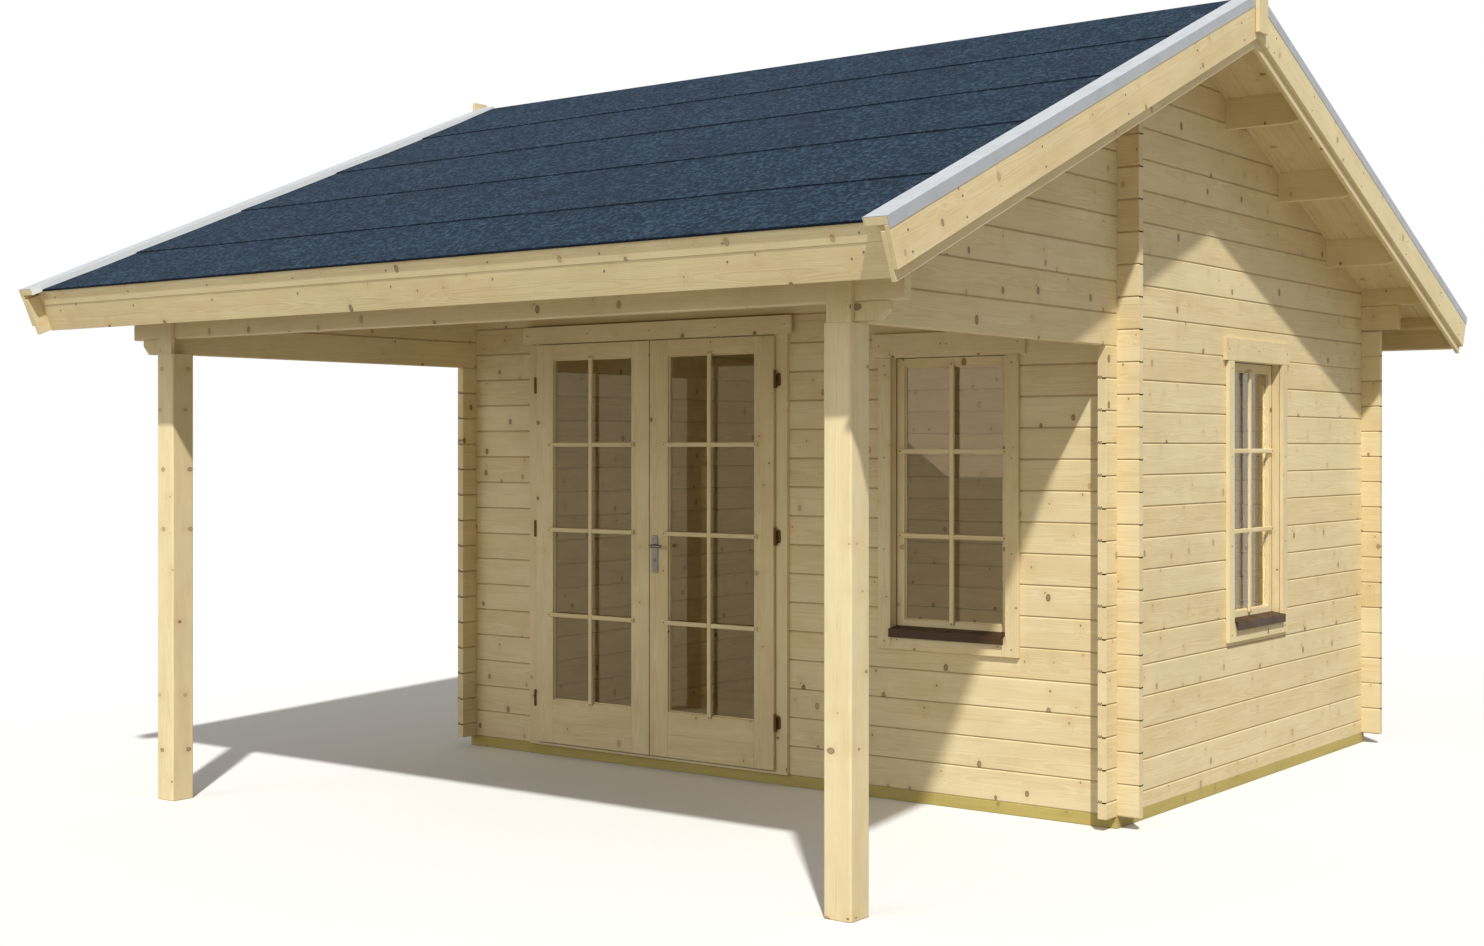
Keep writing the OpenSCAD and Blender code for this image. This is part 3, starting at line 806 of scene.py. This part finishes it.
def door_leaf(node, pane, name):
    """Two stiles, a top rail and a bottom rail of two boards."""
    whole = solid(node)
    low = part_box(node)[0]
    pane_low, pane_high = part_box(pane)
    kick = (low.z + pane_low.z) / 2
    left, right = pane_low.x + SAW, pane_high.x - SAW
    shapes = [clipped(whole, high=(pane_low.x - SAW, None, None)),
              clipped(whole, low=(pane_high.x + SAW, None, None)),
              clipped(whole, (left, None, pane_high.z + SAW), (right, None, None)),
              clipped(whole, (left, None, kick), (right, None, pane_low.z - SAW)),
              clipped(whole, (left, None, None), (right, None, kick))]
    whole.free()
    wooden(shapes, node, name, edge=WORN_EDGE)


door_leaf("left_door", "left_door_glass", "left_door_joinery")
door_leaf("right_door", "right_door_glass", "right_door_joinery")


# Screws: a low dome with a socket. The profile is in radii, outwards and up

SCREW_R = 0.004
SCREW_SIDES = 12
SCREW_PROFILE = [(1.0, 0.0), (0.92, 0.32), (0.55, 0.46), (0.36, 0.46), (0.30, 0.12)]


def screw(point, out, radius=SCREW_R):
    out = out.normalized()
    side = out.orthogonal().normalized()
    up = out.cross(side)
    bm = bmesh.new()
    loops = []
    for share, height in SCREW_PROFILE:
        loop = []
        for k in range(SCREW_SIDES):
            a = math.tau * k / SCREW_SIDES
            way = side * math.cos(a) + up * math.sin(a)
            loop.append(bm.verts.new(point + way * radius * share + out * radius * height))
        loops.append(loop)
    for inner, outer in zip(loops[1:], loops):
        for k in range(SCREW_SIDES):
            m = (k + 1) % SCREW_SIDES
            bm.faces.new((outer[k], outer[m], inner[m], inner[k]))
    bm.faces.new(loops[-1])
    bm.faces.new(reversed(loops[0]))
    return bm


# Bars, beads and painted joint shade. A pane or sash is drawn flat: u along the wall, v up, w out of it

BAR_W = 0.022
BAR_T = 0.013
BAR_LAP = 0.024
BAR_EDGE = 0.004
RIM_LAP = 0.012
CLIP_R = 0.0036
CLIP_IN = 0.009
CLIP_UP = 0.006
BEAD = 0.006
BEAD_EDGE = 0.002
DOOR_ROWS = 4
WINDOW_ROWS = 3
WINDOW_FACE = 0.015
SASH_GAP = 0.0035
SASH_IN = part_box("window_sashes")[0].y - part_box("window_frames")[0].y
GAP_SUNK = 0.001
REVEAL_HALF = 0.0015
REVEAL_T = 0.002


def flat_block(u0, u1, v0, v1, w0, w1, place):
    bm = block((u0, w0, v0), (u1, w1, v1))
    for v in bm.verts:
        v.co = place(v.co.x, v.co.y, v.co.z)
    return bm


def flat_rim(span, width, w0, w1, place):
    """Four strips just inside the edges of a span."""
    u0, u1, v0, v1 = span
    strips = ((u0, u0 + width, v0, v1), (u1 - width, u1, v0, v1),
              (u0 + width, u1 - width, v0, v0 + width), (u0 + width, u1 - width, v1 - width, v1))
    return [flat_block(*strip, w0, w1, place) for strip in strips]


def bar_clip(u, v, w, place):
    """The small fixing at one end of a bar."""
    point = place(u, w, v)
    return screw(point, place(u, w + 1.0, v) - point, CLIP_R)


def lattice(pane, face_w, rows, place):
    """The bars over one pane, and the clips at their ends."""
    u0, u1, v0, v1 = pane
    middle = (u0 + u1) / 2
    half = BAR_W / 2
    top_w = face_w + BAR_T
    bars = [flat_block(middle - half, middle + half, v0 - RIM_LAP, v1 + RIM_LAP, face_w, top_w, place)]
    clips = []
    for k in range(1, rows):
        v = v0 + (v1 - v0) * k / rows
        for a, b in ((u0 - BAR_LAP, middle - half), (middle + half, u1 + BAR_LAP)):
            bars.append(flat_block(a, b, v - half, v + half, face_w, top_w, place))
        for u in (u0 - BAR_LAP + CLIP_IN, u1 + BAR_LAP - CLIP_IN):
            clips.append(bar_clip(u, v, top_w, place))
    for v in (v0 - RIM_LAP + CLIP_UP, v1 + RIM_LAP - CLIP_UP):
        clips.append(bar_clip(middle, v, top_w, place))
    return bars, clips


def clear_trim(shapes, name, body, edge, segments):
    """Thin parts of pine without knots, with round edges."""
    bm = soften(joined(shapes), edge, segments)
    paint_grain(bm)
    piece(bm, name, body, "pine", CLEAR_PINE)


def glazing(name, body, pane, face_w, rows, place):
    """A lattice over one pane, and beads round it. w grows out of the wall from the pane's own face."""
    bars, clips = lattice(pane, face_w, rows, place)
    clear_trim(bars, name + "_bars", body, BAR_EDGE, 3)
    piece(joined(clips), name + "_clips", body, "iron")
    clear_trim(flat_rim(pane, BEAD, SEAT, BEAD, place), name + "_beads", body, BEAD_EDGE, 2)


def sash_joint_shade(name, span, place):
    """Painted shade in the joints: round the sash's face, and in the reveal where the trim meets the frame.
    """
    u0, u1, v0, v1 = span
    strips = flat_rim(span, SASH_GAP, -GAP_SUNK, PROUD, place)
    for a, b in ((u0 - REVEAL_T, u0 - PROUD), (u1 + PROUD, u1 + REVEAL_T)):
        strips.append(flat_block(a, b, v0, v1, SASH_IN - REVEAL_HALF, SASH_IN + REVEAL_HALF, place))
    bm = joined(strips)
    paint_grain(bm)
    piece(bm, name + "_joint_shade", "cabin", "pine", GAP_SHADE)


def door_glazing(side):
    low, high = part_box(side + "_door_glass")
    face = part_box(side + "_door")[0].y
    glazing(side + "_door", side + "_leaf", (low.x, high.x, low.z, high.z), low.y - face, DOOR_ROWS,
            lambda u, w, v: Vector((u, low.y - w, v)))


def in_windows(node):
    """For each window's part of a node: the window's name, the span in the wall, and the outer face."""
    for low, high in boxes(node):
        if wall_axis(low, high) == 0:
            yield ("front_window", (low.x, high.x, low.z, high.z),
                   lambda u, w, v, y=low.y: Vector((u, y - w, v)))
        else:
            yield ("side_window", (low.y, high.y, low.z, high.z),
                   lambda u, w, v, x=high.x: Vector((x + w, u, v)))


door_glazing("left")
door_glazing("right")
for window, window_span, window_face in in_windows("window_glass"):
    glazing(window, "cabin", window_span, WINDOW_FACE, WINDOW_ROWS, window_face)
for window, window_span, window_face in in_windows("window_sashes"):
    sash_joint_shade(window, window_span, window_face)


# Screws through the boards. On a slope, places are given down it and out from the roof boards' underside

TRIM_SCREW_R = 0.0035
TRIM_SCREW_PACE = 0.45
TRIM_SCREW_IN = 0.035
VERGE_SCREWS_DOWN = (0.22, 0.705, 1.41, 2.115, 2.70, 3.06)
VERGE_SCREWS_OUT = (-0.028, -0.100)
EAVE_SCREWS = 9
EAVE_SCREW_IN = 0.12
EAVE_SCREW_DROP = {"eave_boards": 0.030, "eave_trims": 0.034}


def trim_screws():
    """A row of screws along every trim board."""
    shapes = []
    for low, high in boxes("trim_boards"):
        wall = wall_axis(low, high)
        out = -BACK if wall == 0 else RIGHT
        long_axis = wall if high[wall] - low[wall] > high.z - low.z else 2
        length = high[long_axis] - low[long_axis]
        count = max(2, round(length / TRIM_SCREW_PACE) + 1)
        for k in range(count):
            p = (low + high) / 2
            p[1 - wall] = low.y if wall == 0 else high.x
            p[long_axis] = low[long_axis] + TRIM_SCREW_IN + (length - 2 * TRIM_SCREW_IN) * k / (count - 1)
            shapes.append(screw(p, out, TRIM_SCREW_R))
    return shapes


def verge_screws():
    """Pairs of screws through the verge boards into each purlin's end."""
    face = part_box("outer_verge_boards")[1].x
    places = product((-1, 1), (-1, 1), VERGE_SCREWS_DOWN, VERGE_SCREWS_OUT)
    return [screw(slope_point(end * face, s, n, side), end * RIGHT) for end, side, s, n in places]


def eave_screws():
    """A row of screws along each eave board."""
    shapes = []
    for node, drop in EAVE_SCREW_DROP.items():
        for part in separate(solid(node)):
            points = [v.co.copy() for v in part.verts]
            part.free()
            _, down, out = slope_basis(points[0].y)
            face = max(p.dot(down) for p in points)
            top = max(p.dot(out) for p in points)
            reach = max(p.x for p in points) - EAVE_SCREW_IN
            for k in range(EAVE_SCREWS):
                x = -reach + 2 * reach * k / (EAVE_SCREWS - 1)
                shapes.append(screw(Vector((x, 0, 0)) + down * face + out * (top - drop), down))
    return shapes


piece(joined(trim_screws() + verge_screws() + eave_screws()), "board_screws", "cabin", "handle_steel")


# Hinges: round caps on the knuckles, and screws in the tabs on the frame

KNUCKLE_R = 0.007
KNUCKLE_H = 0.040
KNUCKLE_CAP_R = 0.0065
TAB_T = 0.003
TAB_SCREW_R = 0.0032
TAB_SCREW_OUT = 0.0145
TAB_SCREW_UP = 0.018


def hinge_details():
    tab_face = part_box("frame_hinges")[1].y - TAB_T
    fixed = []
    for side, way in (("left", -1), ("right", 1)):
        node = side + "_door_hinges"
        caps = []
        for low, high in boxes(node):
            axis_x = high.x - KNUCKLE_R if way > 0 else low.x + KNUCKLE_R
            axis_y = low.y + KNUCKLE_R
            tab_x = axis_x + way * TAB_SCREW_OUT
            caps.append(screw(Vector((axis_x, axis_y, high.z)), UP, KNUCKLE_CAP_R))
            fixed.append(screw(Vector((axis_x, axis_y, low.z - KNUCKLE_H)), -UP, KNUCKLE_CAP_R))
            for z in (low.z - TAB_SCREW_UP, low.z + TAB_SCREW_UP):
                fixed.append(screw(Vector((tab_x, tab_face, z)), -BACK, TAB_SCREW_R))
        piece(joined(caps), side + "_hinge_caps", BODY_OF[node], "iron")
    piece(joined(fixed), "frame_hinge_fixings", "cabin", "iron")


hinge_details()


# Ends of the logs: the shade in the gap between two courses is painted as a dark strip, toothed where the
# tongues are left uncut

HALF_LOG = LOG_T / 2
GAP_SHARE = 0.96
SAG = 0.0028
SAG_T = 0.0056
SAGGING = [(GAP_SHARE * HALF_LOG * u, SAG * u * u) for u in (-1.0, -0.7, -0.35, 0.0, 0.35, 0.7, 1.0)]
TOOTH_T = 0.0062
TEETH = [(-0.0190, 0.0), (-0.017, 0.0), (-0.0145, 0.008), (-0.0120, 0.008), (-0.0095, 0.0), (-0.0070, 0.0),
         (-0.0045, 0.008), (-0.0020, 0.008), (0.0005, 0.0), (0.0190, 0.0005)]
END_MARGIN = 0.02
ROOF_MARGIN = 0.03
CORBEL_COURSE = 16


def end_gap(points, thick, place):
    """A dark strip of painted shade across one log end, through points given across the log and up it."""
    bm = bmesh.new()
    rows = [[bm.verts.new(place(u, v + lift)) for u, v in points] for lift in (-thick / 2, thick / 2)]
    for k in range(len(points) - 1):
        bm.faces.new((rows[0][k], rows[0][k + 1], rows[1][k + 1], rows[1][k]))
    return bm


def sagging_gaps(node):
    """The gaps in the log ends of the front and rear walls, at both sides of the cabin."""
    low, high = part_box(node)
    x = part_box("front_wall_right")[1].x + PROUD
    y = (low.y + high.y) / 2
    top = min(high.z, RIDGE_Z - (abs(y) + HALF_LOG) * math.tan(PITCH)) - ROOF_MARGIN
    if node == "rear_wall":
        top = min(top, BEAM_TOP + CORBEL_COURSE * LOG_H - END_MARGIN)
    levels = [z for z in course_lines(0.0) if low.z + END_MARGIN < z < top]
    return [end_gap(SAGGING, SAG_T, lambda u, v: Vector((side * x, y + u, z + v)))
            for z, side in product(levels, (-1, 1))]


def toothed_gaps(node, front):
    """The gaps in the log ends of both side walls, at the front or at the rear."""
    low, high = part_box(node)
    x = high.x - HALF_LOG
    y = low.y - PROUD if front else high.y + PROUD
    levels = [z for z in course_lines(0.5) if low.z + END_MARGIN < z < high.z - END_MARGIN]
    return [end_gap(TEETH, TOOTH_T, lambda u, v: Vector((side * x + u, y, z + v)))
            for z, side in product(levels, (-1, 1))]


def log_end_gap_shade():
    shapes = []
    for node in ("front_wall_right", "front_wall_upper", "rear_wall"):
        shapes += sagging_gaps(node)
    shapes += toothed_gaps("right_wall_front", True)
    shapes += toothed_gaps("right_wall_rear", False)
    bm = joined(shapes)
    paint_grain(bm)
    piece(bm, "log_end_gap_shade", "cabin", "pine", GAP_SHADE)


log_end_gap_shade()


# The handle's plate gets soft edges, screws and a keyhole

PLATE_EDGE = 0.0012
PLATE_SHARP = 40.0
PLATE_MIDDLE = 0.019
PLATE_T = 0.005
PLATE_SCREW_IN = 0.014
KEYHOLE_DOWN = 0.028
KEYHOLE_R = 0.009


def handle_details():
    bm = soften(solid("door_handle"), PLATE_EDGE, 2, PLATE_SHARP)
    piece(bm, "door_handle_lever", BODY_OF["door_handle"], "handle_steel", replaced=["door_handle"])
    low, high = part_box("door_handle")
    x = low.x + PLATE_MIDDLE
    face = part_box("right_door")[0].y - PLATE_T
    levels = (low.z + PLATE_SCREW_IN, high.z - PLATE_SCREW_IN)
    keyhole_z = (low.z + high.z) / 2 - KEYHOLE_DOWN
    fixings = [screw(Vector((x, face, z)), -BACK) for z in levels]
    fixings.append(screw(Vector((x, face, keyhole_z)), -BACK, KEYHOLE_R))
    piece(joined(fixings), "door_handle_fixings", BODY_OF["door_handle"], "handle_steel")


handle_details()


# The solids that show as they are

for node in ("edge_caps", "frame_hinges", "left_door_hinges", "right_door_hinges", "left_door_glass",
             "right_door_glass", "window_glass", "window_sills"):
    obj = frame["nodes"][node]
    obj.data.materials.clear()
    obj.data.materials.append(MATERIALS[SLOT_OF[node]])


# Stage and light

FLOOR_SIZE = 160.0
FLOOR_DROP = 0.001
FLOOR_PALE = (0.86, 0.86, 0.85, 1)
FLOOR_PALER = (0.90, 0.90, 0.89, 1)
FLOOR_BOUNCE = (0.36, 0.35, 0.32, 1)
WHITE = (1.0, 1.0, 1.0, 1.0)
FILL = 0.36


def pale_floor():
    """A floor that looks pale, but throws less light back at the walls."""
    t = new_material("floor_stage")
    grit = t.noise(t.place(), 30.0, 3.0)
    pale = t.put("BsdfDiffuse", {"Color": t.mix(grit, FLOOR_PALE, FLOOR_PALER)}).outputs[0]
    dim = t.put("BsdfDiffuse", {"Color": FLOOR_BOUNCE}).outputs[0]
    return t.finish(t.put("MixShader", {0: t.seen(), 1: dim, 2: pale}).outputs[0])


def studio():
    """A world that looks white, but fills the shadows with less light."""
    t = Tree(bpy.data.worlds.new("studio"))
    strength = t.put("MapRange", {0: t.seen(), 3: FILL, 4: 1.0}).outputs[0]
    return t.finish(t.put("Background", {"Color": WHITE, "Strength": strength}).outputs[0], "World")


def lamp(name, energy, softness, color, towards):
    """A sun lamp of some softness, in degrees, with the direction from the cabin towards it."""
    light = bpy.data.lights.new(name, "SUN")
    light.energy = energy
    light.angle = math.radians(softness)
    light.color = color
    holder = bpy.data.objects.new(name, light)
    holder.rotation_euler = Vector(towards).to_track_quat("Z", "Y").to_euler()
    bpy.context.scene.collection.objects.link(holder)


bpy.ops.mesh.primitive_plane_add(size=FLOOR_SIZE, location=(0.0, 0.0, -FLOOR_DROP))
ground = bpy.context.object
ground.name = "ground"
ground.data.materials.append(pale_floor())
bpy.context.scene.world = studio()
lamp("key", energy=3.4, softness=1.6, color=(1.0, 0.985, 0.95), towards=(1.0, -1.2, 1.8))
lamp("porch_fill", energy=0.55, softness=40.0, color=(1.0, 0.99, 0.97), towards=(-0.30, -0.92, 0.25))


# Camera, level and turned to the left as the photograph's was

PHOTO_W = 1484
PHOTO_SHIFT = -26.53
LENS = 46.634
SENSOR = 36.0
CAMERA_AT = (5.506, -7.880, 1.604)
CAMERA_TURN = 37.08


def add_camera():
    camera = bpy.data.cameras.new("camera")
    camera.sensor_fit = "HORIZONTAL"
    camera.sensor_width = SENSOR
    camera.lens = LENS
    camera.shift_y = PHOTO_SHIFT / PHOTO_W
    holder = bpy.data.objects.new("camera", camera)
    holder.location = CAMERA_AT
    holder.rotation_euler = (math.radians(90.0), 0.0, math.radians(CAMERA_TURN))
    bpy.context.scene.collection.objects.link(holder)
    bpy.context.scene.camera = holder


add_camera()
bpy.context.scene.view_settings.view_transform = "Standard"
